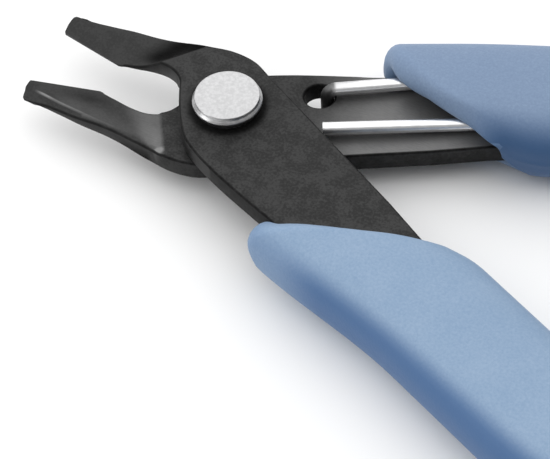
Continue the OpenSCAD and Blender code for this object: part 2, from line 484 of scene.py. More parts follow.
@dataclass(frozen=True)
class DrawnWire:
    """Bright drawn spring wire with fine lengthwise draw lines, and painted shade on the hook's bend."""

    name: str = "spring_wire"
    bright: Point3 = (0.93, 0.93, 0.935)
    dull: Point3 = (0.78, 0.78, 0.79)
    hook_shade_tone: Point3 = (0.03, 0.03, 0.03)

    def make(self) -> bpy.types.Material:
        """Returns the material."""
        shop = Shop(self.name)
        along = shop.place((0.06, 1.0, 1.0), math.radians(-30))
        lines = shop.noise(along, 0.09, 2, 0.6)
        patch = shop.noise(shop.place(), 1.6, 3)
        hook_shade = shop.attribute("hook_shade")
        colour = shop.mix(patch.band(0.35, 0.75), self.bright, self.dull)
        # Painted shade on the hook's bend.
        shop.set(Base_Color=shop.mix(hook_shade * (0.8 + 0.2 * patch), colour, self.hook_shade_tone), Metallic=1.0,
                 Roughness=0.27 + patch * 0.12 + (lines - 0.5) * 0.08 + hook_shade * 0.2,
                 Normal=shop.bump(lines, 0.004, 0.4))
        return shop.material


@dataclass(frozen=True)
class CushionVinyl:
    """Soft pale-blue moulded sleeve: matt, with a fine pebbled grain, painted shade on the side walls and
    over the whole rear sleeve, and a darker tone inside the mouth and pocket.
    """

    name: str = "cushion_grip"
    pale: Point3 = (0.256, 0.358, 0.500)
    deep: Point3 = (0.196, 0.300, 0.447)
    side_shade: Point3 = (0.048, 0.122, 0.272)
    shaded_rear_tone: Point3 = (0.155, 0.224, 0.348)
    shaded_rear_side: Point3 = (0.036, 0.092, 0.205)
    pebble_mm: float = 0.34
    mouth_dark_tone: Point3 = (0.110, 0.190, 0.330)

    def make(self) -> bpy.types.Material:
        """Returns the material."""
        shop = Shop(self.name)
        where = shop.place()
        cloud = shop.noise(where, 7.0, 3)
        fleck = shop.noise(where, 0.3, 3, 0.65)
        pebble = shop.add("ShaderNodeTexVoronoi", {"feature": "SMOOTH_F1"},
                          {"Vector": where, "Scale": 1 / (self.pebble_mm * MM), "Smoothness": 0.6},
                          "Distance")
        age = shop.attribute("age")
        colour = shop.mix(cloud.band(0.3, 0.7) * 0.35 + (fleck - 0.5) * 2.2 + 0.3, self.pale, self.deep)
        # Painted shade: the whole rear sleeve is darker and greyer.
        colour = shop.mix(age * (0.8 + (fleck - 0.5) * 0.9), colour, self.shaded_rear_tone)
        side = shop.mix(age, self.side_shade, self.shaded_rear_side)
        # Painted shade on the side walls.
        colour = shop.mix(shop.attribute("side_shade"), colour, side)
        # A darker tone inside the pocket and over the lip's inner turn.
        colour = shop.mix(shop.attribute("mouth_darkening") * (0.2 + 0.5 * fleck), colour, self.mouth_dark_tone)
        rough = 0.56 + (fleck - 0.5) * 0.16 + (cloud - 0.5) * 0.08
        grain = shop.bump(pebble, 0.03, 0.5)
        shop.set(Base_Color=colour, Roughness=rough, Normal=shop.bump(fleck, 0.02, 0.35, grain),
                 Specular_IOR_Level=0.4, Sheen_Weight=0.12, Sheen_Roughness=0.5,
                 Sheen_Tint=(0.8, 0.88, 1.0))
        return shop.material


# ---------- handle line

@dataclass
class HandleLine:
    """The closed handle's centre line: a straight stretch, then an arc back towards the middle."""

    start: Point2 = (15.9, -5.5)
    angle: float = math.radians(-15.7)
    straight: float = 37.5
    arc_r: float = 85.0

    def heading(self, s: float) -> float:
        """Direction of the line, in radians, s millimetres along it."""
        return self.angle + max(0.0, s - self.straight) / self.arc_r

    def at(self, s: float) -> Point2:
        """Point of the line s millimetres along it."""
        run = min(s, self.straight)
        x = self.start[0] + run * math.cos(self.angle)
        y = self.start[1] + run * math.sin(self.angle)
        if s > self.straight:
            a, b = self.angle, self.heading(s)
            x += self.arc_r * (math.sin(b) - math.sin(a))
            y += self.arc_r * (math.cos(a) - math.cos(b))
        return x, y

    def beside(self, s: float, d: float) -> Point2:
        """Point at a distance d to the line's left, which is the tool's inner side."""
        x, y = self.at(s)
        a = self.heading(s)
        return x - d * math.sin(a), y + d * math.cos(a)


HANDLE = HandleLine()


# ---------- levers

@dataclass
class Lever:
    """One stamped lever with its ground jaw, hub, bores and tang."""

    side: Side
    steel: bpy.types.Material
    jaw_reach: float = 25.4
    edge_len: float = 8.8
    edge_pass: float = 0.48
    edge_t: float = 0.45
    bevel: float = math.tan(math.radians(18))
    tang_half: float = 5.4
    tang_end: float = 78.0
    bore_r: float = 2.8
    anchor_r: float = 1.85
    anchor_at: Point2 = (8.0, 8.1)
    roll: float = 0.3
    keen_roll: float = 0.04
    roll_steps: int = 4
    grid: float = 0.55
    coarse_grid: float = 3.0
    fine_until: float = 34.0
    hole_steps: int = 72
    crease_line: tuple[Point2, Point2] = ((-10.9, 1.5), (-0.856, 0.517))
    scoop_hub: tuple[Point2, Point2] = ((-8.06, 1.27), (-0.931, 0.364))
    scoop_jaw: tuple[Point2, Point2] = ((-12.86, 1.73), (0.745, -0.667))
    scoop_depth: float = 0.24
    least_web: float = 0.25
    ridge_line: tuple[Point2, ...] = (
        (-25.8, 0.9), (-22.86, 1.85), (-20.6, 2.6), (-18.0, 3.3), (-15.5, 4.0), (-13.3, 4.5),
        (-10.0, 5.4), (-6.55, 7.02), (-4.0, 8.2))

    def outline(self) -> list[Point2]:
        """The lever's outline, closed, from the jaw's tip along its cutting edge and round to the back."""
        root = self.edge_len - self.jaw_reach
        throat = [(root, -self.edge_pass), (-15.4, -0.1), (-14.3, 0.22), (-12.6, 0.75), (-10.8, 1.1),
                  (-9.5, 1.1), (-8.3, 0.75), (-7.4, 0.1), (-6.6, -1), (-5, -3.1), (-3.4, -4.9),
                  (-1.2, -6.9), (1.6, -8.2), (4.8, -9.2), (8, -10), (12, -10.9), (16, -11.8),
                  HANDLE.beside(12, -6.2), HANDLE.beside(20, -self.tang_half)]
        back = [(0.9, 6.8), (-1.8, 7.7), (-5, 7.6), (-8.4, 6.5), (-13.4, 5.0), (-18.3, 4.0), (-22.2, 3.05)]
        tang = [24 + 3 * k for k in range(19)]
        end_angle = HANDLE.heading(self.tang_end)
        cx, cy = HANDLE.at(self.tang_end)
        turns = [polar(self.tang_half, end_angle + a) for a in np.radians(np.arange(-75, 76, 15))]
        cap = [(cx + u, cy + v) for u, v in turns]
        inner = [HANDLE.beside(22, self.tang_half), (31, -4.1), (24.4, -1.5), (18.4, 0.6), (0.9, 6.8)]
        corner = ((0.5, 2.56), (-0.08, 2.43), (-0.33, 2.15), (-0.37, 1.75), (-0.33, 1.0), (-0.1, 0.1))
        tip = [(dx - self.jaw_reach, y) for dx, y in corner]
        return ([(-self.jaw_reach, 0.0)] + smooth_curve(throat, 8)
                + [HANDLE.beside(s, -self.tang_half) for s in tang] + cap
                + [HANDLE.beside(s, self.tang_half) for s in reversed(tang)]
                + inner[:-1] + smooth_curve(back, 8) + [back[-1]] + tip)

    def holes(self) -> list[tuple[Point2, float]]:
        """Centres and radii of the round holes in the closed drawing."""
        found = [((0.0, 0.0), self.bore_r)]
        if self.side is Side.REAR:
            found.append((self.side.unplace(*self.anchor_at), self.anchor_r))
        return found

    def crease(self, x: float, y: float) -> float:
        """Distance from the hub's plane, on the outer face, towards the jaw."""
        return past(x, y, self.crease_line)

    def scoop(self, x: float, y: float) -> tuple[float, float]:
        """Distances into the scooped patch of the sliding face, from its hub side and from its jaw side."""
        return past(x, y, self.scoop_hub), past(x, y, self.scoop_jaw)

    def ridge(self, x: float) -> float:
        """How far out the ridge of the sliding face lies at an x."""
        return float(np.interp(x, [p[0] for p in self.ridge_line], [p[1] for p in self.ridge_line]))

    def upper(self, x: float, y: float) -> float:
        """Height of the outer face: a ground wedge on the jaw, hollowed up to the hub's plane."""
        if x > -2:
            return PLATE_T
        wedge = self.edge_t + self.bevel * y + 0.03 * math.sin(x * 0.9 + y) * fade(-x, 13, 18)
        t = min(1.0, max(0.0, 1 - self.crease(x, y) / 3.0))
        gap = PLATE_T - wedge - (PLATE_T + 0.04 - wedge) * t * t
        if self.crease(x, y) <= 0:
            gap = -0.04
        return PLATE_T - 0.5 * (gap + math.sqrt(gap * gap + 0.0064)) * fade(-x, 2, 5)

    def lower(self, x: float, y: float) -> float:
        """Height of the sliding face: flat, with a scooped patch by the hub and a fallen outer side."""
        out = y - self.ridge(x)
        fall = 0.46 * (out + math.sqrt(out * out + 0.006)) * fade(-x, 4.5, 7.5) if x < -4 else 0.0
        hub, jaw = self.scoop(x, y)
        dish = self.scoop_depth * plateau(hub, 0.0, 0.45, 2.0, 7.0) * fade(jaw, -3.4, 0.6) if x < -4 else 0.0
        tip = 0.2 * fade(-x, self.jaw_reach - 2.4, self.jaw_reach) * fade(y, 0.2, 1.6)
        return min(max(fall, dish) + tip, self.upper(x, y) - self.least_web)

    def tones(self, x: float, y: float, top: bool) -> tuple[float, float, float]:
        """How ground the steel is, and how much painted shade and painted light it takes, at a point of
        either face.
        """
        ground = fade(-x, 8.2, 9.6)
        r = math.hypot(x, y)
        if x > -6 or r < 6:
            # Painted shadow: a dark ring round the pivot head on the front hub's outer face.
            if self.side is Side.FRONT:
                return 0.0, 1 - fade(r, HEAD_R + 0.3, HEAD_R + 1.15) if top else 0.0, 0.0
            # Painted light on the rear lever's sliding face by the grip's mouth, against the shade under the
            # lip.
            return 0.0, 0.0, 0.0 if top else 0.7 * plateau(x, 7, 18, 34, 40)
        if top:
            # Painted shade in the hollow that rises to the hub's plane.
            away = self.crease(x, y)
            return ground, 1.3 * plateau(away, -0.1, 0.2, 1.6, 4.4) * fade(y, 0.3, 2.4), 0.0
        hub, jaw = self.scoop(x, y)
        out = y - self.ridge(x)
        # Painted highlights: the scooped patch, the outer chamfer, the ridge line and a spot by the hub.
        painted_light = (0.38 + 0.3 * fade(y, 2, 6)) * plateau(hub, 0.0, 0.5, 2.0, 5.5) * fade(jaw, -1.6, 2.2)
        painted_light *= 1 - fade(out, -0.5, 0.1)
        painted_light = max(painted_light, 0.13 * plateau(out, -2.4, -0.4, -0.2, 0.1) * plateau(-x, 9, 12, 19, 23))
        line = 0.25 + 0.45 * fade(-x, 14, 21) + 0.6 * fade(-x, 21.5, 22.6)
        line *= 1 - fade(abs(out), 0.04, 0.2)
        painted_light = max(painted_light, line * plateau(-x, 10, 14, 23, 24.5))
        painted_light = max(painted_light, 1.6 * (1 - fade(math.hypot(x + 6.7, y - 6.5), 0.2, 0.75)))
        # Painted shade on the jaw's inner face near the root of the cutting edge.
        painted_shade = 0.6 * math.exp(-((x + 17.4) / 2.8) ** 2 - ((y - 1.0) / 0.8) ** 2)
        return ground, painted_shade, painted_light

    def keenness(self, x: float, y: float) -> float:
        """1 on the cutting edge, 0 elsewhere."""
        return 1.0 if y < 0.1 and x < self.edge_len - self.jaw_reach + 0.6 else 0.0

    def build(self) -> bpy.types.Object:
        """Builds the lever as one closed mesh.

        Returns:
            The piece, at its place.
        """
        loops = [resample(self.outline(), lambda x: 0.5 if x < 0 else 0.9 if x < self.fine_until else 4.0)]
        for (cx, cy), r in self.holes():
            turns = [polar(r, -2 * math.pi * k / self.hole_steps) for k in range(self.hole_steps)]
            loops.append([(cx + u, cy + v) for u, v in turns])
        rings = [self._inset(loop) for loop in loops]
        flat_points, triangles = self._fill([ring[-1] for ring in rings])
        vertices: list[Vector] = []
        # Per-vertex masks: painted shade on the rounded edges, the ground finish, painted shade in the
        # hollows and painted highlights.
        layers: dict[str, list[float]] = {"edge": [], "ground": [], "deep": [], "painted_light": []}
        faces: list[list[int]] = []

        def put(x: float, y: float, z: float, rim: float, top: bool) -> int:
            """Adds a vertex with its tones, and returns its number."""
            vertices.append(self.side.place(x, y, z))
            ground, deep, painted_light = self.tones(x, y, top)
            for key, value in zip(layers, (rim, ground, deep * (1 - rim), painted_light * (1 - rim))):
                layers[key].append(value)
            return len(vertices) - 1

        fill = {}
        for top in (True, False):
            height = self.upper if top else self.lower
            fill[top] = [put(x, y, height(x, y), 0.0, top) for x, y in flat_points]
            for tri in triangles:
                ids = [fill[top][i] for i in tri]
                faces.append(ids if top else ids[::-1])
        start = 0
        for loop, ring in zip(loops, rings):
            n = len(loop)
            raw = [self._roll(*q) for q in loop]
            rolls = [(raw[i - 1] + raw[i] + raw[(i + 1) % n]) / 3 for i in range(n)]
            rows: list[list[int]] = []
            for top in (True, False):
                height = self.upper if top else self.lower
                side_rows = []
                for k in range(self.roll_steps):
                    lift = math.sin(math.pi / 2 * k / self.roll_steps)
                    row = []
                    for i, (x, y) in enumerate(ring[k]):
                        base = height(*ring[-1][i])
                        drop = rolls[i] * (1 - lift)
                        keen = self.keenness(*loop[i])
                        # Painted shade over the rounded edge and down the side wall, but none on the cutting
                        # edge.
                        rim = 0.0 if keen else (0.25 if x < 4 else 0.75, 0.9, 1.0, 0.8)[k]
                        row.append(put(x, y, base - drop if top else base + drop, rim, top))
                    side_rows.append(row)
                inner = [fill[top][start + i] for i in range(n)]
                rows += [inner] + side_rows[::-1] if top else side_rows + [inner]
            for a, b in zip(rows, rows[1:]):
                for i in range(n):
                    j = (i + 1) % n
                    faces.append([a[i], b[i], b[j], a[j]])
            start += n
        piece = new_piece(f"{self.side.name.lower()}_lever_plate", vertices, faces, self.steel)
        for key, values in layers.items():
            paint(piece, key, values)
        turn_outwards(piece)
        crisp(piece, 38)
        return piece

    def _roll(self, x: float, y: float) -> float:
        """Radius of the rounded edge at a point of the outline."""
        if self.keenness(x, y):
            return self.keen_roll
        return self.roll * (0.3 if x < -self.jaw_reach + 0.8 else 1.0)

    def _inset(self, loop: Sequence[Point2]) -> list[list[Point2]]:
        """Rings that step inwards from a loop over the rounded edge; the last is the flat face's border."""
        p = np.array(loop)
        ahead = np.roll(p, -1, 0) - p
        behind = p - np.roll(p, 1, 0)
        ahead /= np.linalg.norm(ahead, axis=1)[:, None]
        behind /= np.linalg.norm(behind, axis=1)[:, None]
        mean = ahead + behind
        mean /= np.linalg.norm(mean, axis=1)[:, None]
        inward = np.c_[-mean[:, 1], mean[:, 0]]
        rolls = np.array([self._roll(x, y) for x, y in loop])
        rolls = (np.roll(rolls, 1) + rolls + np.roll(rolls, -1)) / 3
        stretch = 1 / np.maximum(0.6, (ahead * mean).sum(1))
        rings = []
        for k in range(self.roll_steps + 1):
            reach = 1 - math.cos(math.pi / 2 * k / self.roll_steps)
            rings.append([tuple(q) for q in p + inward * (rolls * reach * stretch)[:, None]])
        return rings

    def _fill(self, borders: list[list[Point2]]) -> tuple[list[Point2], list[list[int]]]:
        """Triangulates the flat face inside its borders, finely on the jaw.

        Args:
            borders: the outer border and the holes' borders.
        Returns:
            All points, borders first, and the triangles.
        """
        points = [q for border in borders for q in border]
        edges: list[Point2] = []
        start = 0
        for border in borders:
            n = len(border)
            edges += [(start + i, start + (i + 1) % n) for i in range(n)]
            start += n
        extra = [q for q in self._guides() if self._inside(q, borders)
                 and np.hypot(*(np.array(points) - q).T).min() > 0.22]
        wall = np.array(points + extra)
        x = wall[:, 0].min()
        while x < wall[:, 0].max():
            step = self.grid if x < -3 else 1.4 if x < self.fine_until else self.coarse_grid
            for y in np.arange(wall[:, 1].min(), wall[:, 1].max(), step):
                q = (x + 1e-4 * math.sin(y * 7), y + (0.5 * step if int(round(x / step)) % 2 else 0))
                near = np.hypot(wall[:, 0] - q[0], wall[:, 1] - q[1]).min()
                if near > 0.55 * step and self._inside(q, borders):
                    extra.append(q)
            x += step
        all_points = [Vector(q) for q in points + extra]
        result = delaunay_2d_cdt(all_points, edges, [], 1, 1e-7)
        places, triangles, origin = result[0], result[2], result[3]
        back = [o[0] if o else -1 for o in origin]
        if len(places) != len(all_points) or -1 in back:
            LOG.warning("the face's border crosses itself: %d points became %d", len(all_points), len(places))
        kept = []
        for tri in triangles:
            centre = sum((places[i] for i in tri), Vector((0, 0))) / 3
            if self._inside((centre.x, centre.y), borders):
                kept.append([back[i] for i in tri])
        return [tuple(q) for q in all_points], kept

    def _guides(self) -> list[Point2]:
        """Points close to the ridge and the creases, which keep them crisp."""
        found: list[Point2] = []
        for x in np.arange(-24.6, -5.0, 0.3):
            found += [(x, self.ridge(x) - 0.2), (x + 0.15, self.ridge(x)), (x, self.ridge(x) + 0.2)]
        for k in range(120):
            found += [polar(r, 0.0524 * k) for r in (HEAD_R + 0.2, HEAD_R + 0.9)]
        for t in np.arange(0.0, 1.0, 0.045):
            found += [(-10.9 + 2.9 * t + d, 1.5 + 4.9 * t) for d in (-0.16, 0.12)]
            found += [(-8.06 + 2.3 * t + d, 1.5 + 5.4 * t) for d in (-0.4, 0.1)]
        return [(float(x), float(y)) for x, y in found]

    @staticmethod
    def _inside(q: Point2, borders: list[list[Point2]]) -> bool:
        """Whether a point is inside the outer border and outside every hole."""
        crossings = 0
        for border in borders:
            b = np.array(border)
            c = np.roll(b, -1, 0)
            spans = (b[:, 1] > q[1]) != (c[:, 1] > q[1])
            with np.errstate(divide="ignore", invalid="ignore"):
                at = b[:, 0] + (q[1] - b[:, 1]) * (c[:, 0] - b[:, 0]) / (c[:, 1] - b[:, 1])
            crossings += int(np.count_nonzero(spans & (at > q[0])))
        return crossings % 2 == 1


# ---------- grips

@dataclass
class Grip:
    """One cushion sleeve: a boxy rounded section swept along the handle, with a slanted rounded mouth."""

    side: Side
    vinyl: bpy.types.Material
    inner_w: float = 8.35
    outer_w: float = 7.65
    half_t: float = GRIP_HALF_T - 0.05
    middle: float = GRIP_MIDDLE
    flare: float = 2.1
    front_mouth: Point3 = (11.0, 1.04, 0.005)
    front_underside: Point3 = (8.3, 0.845, 0.035)
    rear_mouth: Point3 = (8.4, 0.87, 0.036)
    lip_bulge: float = 1.5
    length: float = 89.9
    end_round: float = 9.5
    power: float = 2.7
    section_points: int = 68
    rings: int = 84
    lip_steps: int = 9
    tang_half: float = 5.45
    tang_end: float = 83.4
    pocket_gap: float = 0.04
    seam_height: float = 0.09
    unit: list[Point2] = field(default_factory=list)

    def __post_init__(self) -> None:
        """Works out the unit section, its points evenly spaced round it and closer at the two seams."""
        fine = 2000
        t = np.arange(fine) * 2 * math.pi / fine
        x = np.sign(np.cos(t)) * np.abs(np.cos(t)) ** (2 / self.power)
        y = np.sign(np.sin(t)) * np.abs(np.sin(t)) ** (2 / self.power)
        step = np.hypot(np.diff(x, append=x[0]) * self.inner_w, np.diff(y, append=y[0]) * self.half_t)
        run = np.concatenate([[0], np.cumsum(step)])
        half = self.section_points // 2
        marks: list[float] = []
        for turn in (0.0, 0.5):
            start, end = turn * run[-1], (turn + 0.5) * run[-1]
            marks += [start, start + 0.22]
            marks += list(np.linspace(start + 0.22, end - 0.22, half - 1))[1:]
        for s in marks:
            i = min(fine - 1, int(np.searchsorted(run, s % run[-1])))
            self.unit.append((float(x[i]), float(y[i])))

    def mouth(self, e: Point2) -> float:
        """Place along the handle of the mouth's edge at a unit section point."""
        d = max(-10.3, self.reach(9.0 + 9.0 * e[0], e)[0])
        limit = 6.0 if self.side is Side.FRONT else 6.4
        d = 0.5 * (d + limit - math.sqrt((d - limit) ** 2 + 1.2))
        if self.side is Side.FRONT:
            share = min(1.0, max(0.0, 0.9 + 0.9 * e[1]))
            return share * parabola(self.front_mouth, d) + (1 - share) * parabola(self.front_underside, d)
        low = min(1.0, max(0.0, e[1] * 1.6 - 0.2))
        return parabola(self.rear_mouth, d) + 0.9 * fade(d, 0, 4.5) + (2.6 + 2.0 * max(0.0, e[0])) * low

    def end_scale(self, s: float) -> float:
        """Narrowing towards the closed end."""
        t = max(0.0, s - self.length + self.end_round) / self.end_round
        return math.sqrt(max(0.0, 1 - t * t))

    def reach(self, s: float, e: Point2) -> tuple[float, float]:
        """Sideways distance and height of a unit section point s millimetres along the handle."""
        thin = 0.9 * fade(s, 60, 84)
        run = (0, 24) if self.side is Side.FRONT else (10, 50)
        inner = self.inner_w - 2.5 * (1 - fade(s, 11.5, 21.5)) - thin
        outer = self.outer_w + self.flare * (1 - fade(s, *run)) - thin
        tall = self.half_t - 0.6 * fade(s, 0, 40)
        swell = 1 + 0.012 * math.sin(s / 11)
        k = self.end_scale(s)
        return e[0] * (inner if e[0] > 0 else outer) * k, e[1] * tall * swell * min(1.0, k)

    def pocket(self, s: float, e: Point2) -> tuple[float, float]:
        """The same for the pocket that holds the tang, and in the rear grip the spring."""
        roomy = 1 - fade(s, 28.6, 30)
        wide = self.tang_half + (1.3 * fade(s, 5, 15) * roomy if self.side is Side.REAR else 0.0)
        top, bottom = PLATE_T + self.pocket_gap, -self.pocket_gap
        if self.side is Side.REAR:
            bottom -= 2.0 * roomy
        half, middle = (top - bottom) / 2, (top + bottom) / 2 - self.middle
        box = 12.0
        n = (abs(e[0]) ** box + abs(e[1]) ** box) ** (1 / box) or 1.0
        return e[0] / n * wide, middle + e[1] / n * half

    def build(self) -> bpy.types.Object:
        """Builds the sleeve as one closed mesh.

        Returns:
            The piece, at its place.
        """
        vertices: list[Vector] = []
        # A darker tone inside the pocket and over the lip's inner turn.
        mouth_darkening: list[float] = []
        # Painted shade on the side walls, per vertex.
        side_shade: list[float] = []
        rows: list[list[int]] = []

        def ring(place: Callable[[Point2], Point3], mouth_darkness: float) -> None:
            """Adds a ring; place gives a unit point's s, sideways distance and height."""
            row = []
            for e in self.unit:
                s, d, h = place(e)
                x, y = HANDLE.beside(s, d)
                row.append(len(vertices))
                vertices.append(self.side.place(x, y, self.middle + h))
                mouth_darkening.append(mouth_darkness)
                side_shade.append(self._shade(s, e))
            rows.append(row)

        for k in range(16, 0, -1):
            ring(lambda e, k=k: self._pocket_place(e, k / 16), 1.0)
        for k in range(self.lip_steps + 1):
            turn = k / self.lip_steps
            ring(lambda e, turn=turn: self._lip_place(e, math.pi * turn), max(0.0, 1 - 3 * turn))
        for k in range(1, self.rings + 1):
            t = k / self.rings
            tau = 0.5 * t + 0.5 * (1 - math.cos(math.pi * t)) / 2
            tau = min(tau, 0.99995)
            ring(lambda e, tau=tau: self._skin_place(e, tau), 0.0)
        n = len(self.unit)
        faces = [[a[i - 1], a[i], b[i], b[i - 1]] for a, b in zip(rows, rows[1:]) for i in range(n)]
        faces.append(rows[0][::-1])
        faces.append(rows[-1])
        piece = new_piece(f"{self.side.name.lower()}_cushion_sleeve", vertices, faces, self.vinyl)
        paint(piece, "mouth_darkening", mouth_darkening)
        paint(piece, "side_shade", side_shade)
        # Painted shade over the whole rear sleeve.
        paint(piece, "age", [1.0 if self.side is Side.REAR else 0.0] * len(vertices))
        turn_outwards(piece)
        return piece

    def _shade(self, s: float, e: Point2) -> float:
        """How much painted shade darkens the colour: most on the side wall that faces the camera, a little on
        the opposite wall.
        """
        near_side = -e[0] if self.side is Side.FRONT else e[0]
        far = fade(s, 10, 45)
        low, high = (0.74 - 0.16 * far, 0.97 - 0.07 * far) if self.side is Side.FRONT else (0.42, 1.0)
        wall = fade(near_side, low, high)
        return max(wall * (0.4 + 0.6 * fade(s, 4, 13)), 0.3 * fade(-near_side, 0.8, 1.0))

    def _seam(self, e: Point2) -> float:
        """Sideways stretch that raises the mould line at mid height."""
        return self.seam_height / self.inner_w if abs(e[1]) < 0.01 else 0.0

    def _skin_place(self, e: Point2, tau: float) -> Point3:
        """Point of the outer skin, tau from 0 at the mouth to 1 at the closed end."""
        s = self.mouth(e)
        s += (self.length - s) * tau
        d, h = self.reach(s, e)
        return s, d * (1 + self._seam(e) * fade(tau, 0.0, 0.02)), h

    def _lip_place(self, e: Point2, turn: float) -> Point3:
        """Point of the rounded lip, turn from 0 at the pocket's mouth to pi at the skin."""
        rim = self.mouth(e)
        outer = self.reach(rim, e)
        d_in, h_in = self.pocket(rim, e)
        t = (1 - math.cos(turn)) / 2
        wall = math.hypot(outer[0] - d_in, outer[1] - h_in)
        s = rim - min(0.42 * wall, self.lip_bulge) * math.sin(turn) - 0.6 * (1 - t)
        return s, d_in + (outer[0] - d_in) * t, h_in + (outer[1] - h_in) * t

    def _pocket_place(self, e: Point2, depth: float) -> Point3:
        """Point of the pocket's wall, depth from 0 at the mouth to 1 at its floor."""
        rim = self.mouth(e) - 0.6
        s = rim + (self.tang_end - rim) * depth ** 1.3
        d, h = self.pocket(s, e)
        return s, d, h


# ---------- return spring

@dataclass
class ReturnSpring:
    """The hairpin: an anchored leg with its hook, the bend, and the leg that bears on the front lever."""

    wire: bpy.types.Material
    radius: float = 0.8
    height: float = 1.1
    bend_at: Point2 = (35.0, 19.3)
    bend_r: float = 4.0
    hook: Point2 = (8.82, 8.48)
    hook_low: float = -2.3
    tip: Point2 = (11.2, 2.63)
    elbow: float = 1.2
    sides: int = 28

    def _touch(self, p: Point2, turn: int) -> float:
        """Angle round the bend at which a straight wire from p meets it."""
        dx, dy = p[0] - self.bend_at[0], p[1] - self.bend_at[1]
        return math.atan2(dy, dx) + turn * math.acos(self.bend_r / math.hypot(dx, dy))

    def _on_bend(self, angle: float) -> Point3:
        """Point of the bend's centre line."""
        u, v = polar(self.bend_r, angle)
        return self.bend_at[0] + u, self.bend_at[1] + v, self.height

    @staticmethod
    def _straight(a: Point3, b: Point3) -> list[Point3]:
        """Eight points that lead from a to b; the last is b."""
        return [tuple(np.array(a) * (1 - k / 8) + np.array(b) * k / 8) for k in range(1, 9)]

    def path(self) -> list[Point3]:
        """The wire's centre line from the hook's end to the free tip, in millimetres."""
        first = self._touch(self.hook, -1)
        last = self._touch(self.tip, 1) - 2 * math.pi
        start = self._on_bend(first)
        away = Vector((start[0] - self.hook[0], start[1] - self.hook[1])).normalized()
        points: list[Point3] = [(*self.hook, self.hook_low), (*self.hook, self.hook_low + 1.2)]
        for k in range(9):
            a = math.pi / 2 * k / 8
            out = self.elbow * (1 - math.cos(a))
            points.append((self.hook[0] + away.x * out, self.hook[1] + away.y * out,
                           self.height - self.elbow * (1 - math.sin(a))))
        points += self._straight(points[-1], start)[:-1]
        points += [self._on_bend(first + (last - first) * k / 32) for k in range(33)]
        return points + self._straight(self._on_bend(last), (*self.tip, self.height))

    def build(self) -> bpy.types.Object:
        """Sweeps the wire with Geometry Nodes and returns it as a plain mesh."""
        curve = bpy.data.curves.new("hairpin_wire_path", "CURVE")
        curve.dimensions = "3D"
        spline = curve.splines.new("POLY")
        points = self.path()
        spline.points.add(len(points) - 1)
        for target, p in zip(spline.points, points):
            target.co = (*(Vector(p) * MM), 1.0)
        carrier = into_scene("hairpin_wire_path", curve)
        modifier = carrier.modifiers.new("sweep", "NODES")
        modifier.node_group = self._sweep_tree()
        inputs = {"Wire radius": self.radius * MM, "Sides": self.sides, "Finish": self.wire}
        for item in modifier.node_group.interface.items_tree:
            if item.name in inputs:
                modifier[item.identifier] = inputs[item.name]
        shape = settled_mesh(carrier)
        bpy.data.objects.remove(carrier)
        piece = into_scene("hairpin_spring", shape)
        turn_outwards(piece)
        for polygon in piece.data.polygons:
            polygon.use_smooth = True
        hook = Vector(self.hook) * MM
        away = [(v.co.xy - hook).length / MM for v in piece.data.vertices]
        # Painted shade on the hook's bend, fading out between 0.75 and 1.5 mm from the hook.
        paint(piece, "hook_shade", [1 - fade(d, 0.75, 1.5) for d in away])
        crisp(piece, 50)
        return piece

    def _sweep_tree(self) -> bpy.types.GeometryNodeTree:
        """A tree that sweeps a round section along a path and closes its ends."""
        tree = bpy.data.node_groups.new("wire_sweep", "GeometryNodeTree")
        for name, way, kind in (("Geometry", "INPUT", "Geometry"), ("Wire radius", "INPUT", "Float"),
                                ("Sides", "INPUT", "Int"), ("Finish", "INPUT", "Material"),
                                ("Geometry", "OUTPUT", "Geometry")):
            tree.interface.new_socket(name, in_out=way, socket_type=f"NodeSocket{kind}")
        source, circle, sweep, realize, dress, out = (tree.nodes.new(kind) for kind in (
            "NodeGroupInput", "GeometryNodeCurvePrimitiveCircle", "GeometryNodeCurveToMesh",
            "GeometryNodeRealizeInstances", "GeometryNodeSetMaterial", "NodeGroupOutput"))
        sweep.inputs["Fill Caps"].default_value = True
        for a, result, b, socket in (
                (source, "Wire radius", circle, "Radius"), (source, "Sides", circle, "Resolution"),
                (source, "Geometry", sweep, "Curve"), (circle, "Curve", sweep, "Profile Curve"),
                (sweep, "Mesh", realize, "Geometry"), (realize, "Geometry", dress, "Geometry"),
                (source, "Finish", dress, "Material"), (dress, "Geometry", out, "Geometry")):
            tree.links.new(a.outputs[result], b.inputs[socket])
        return tree


# ---------- pivot

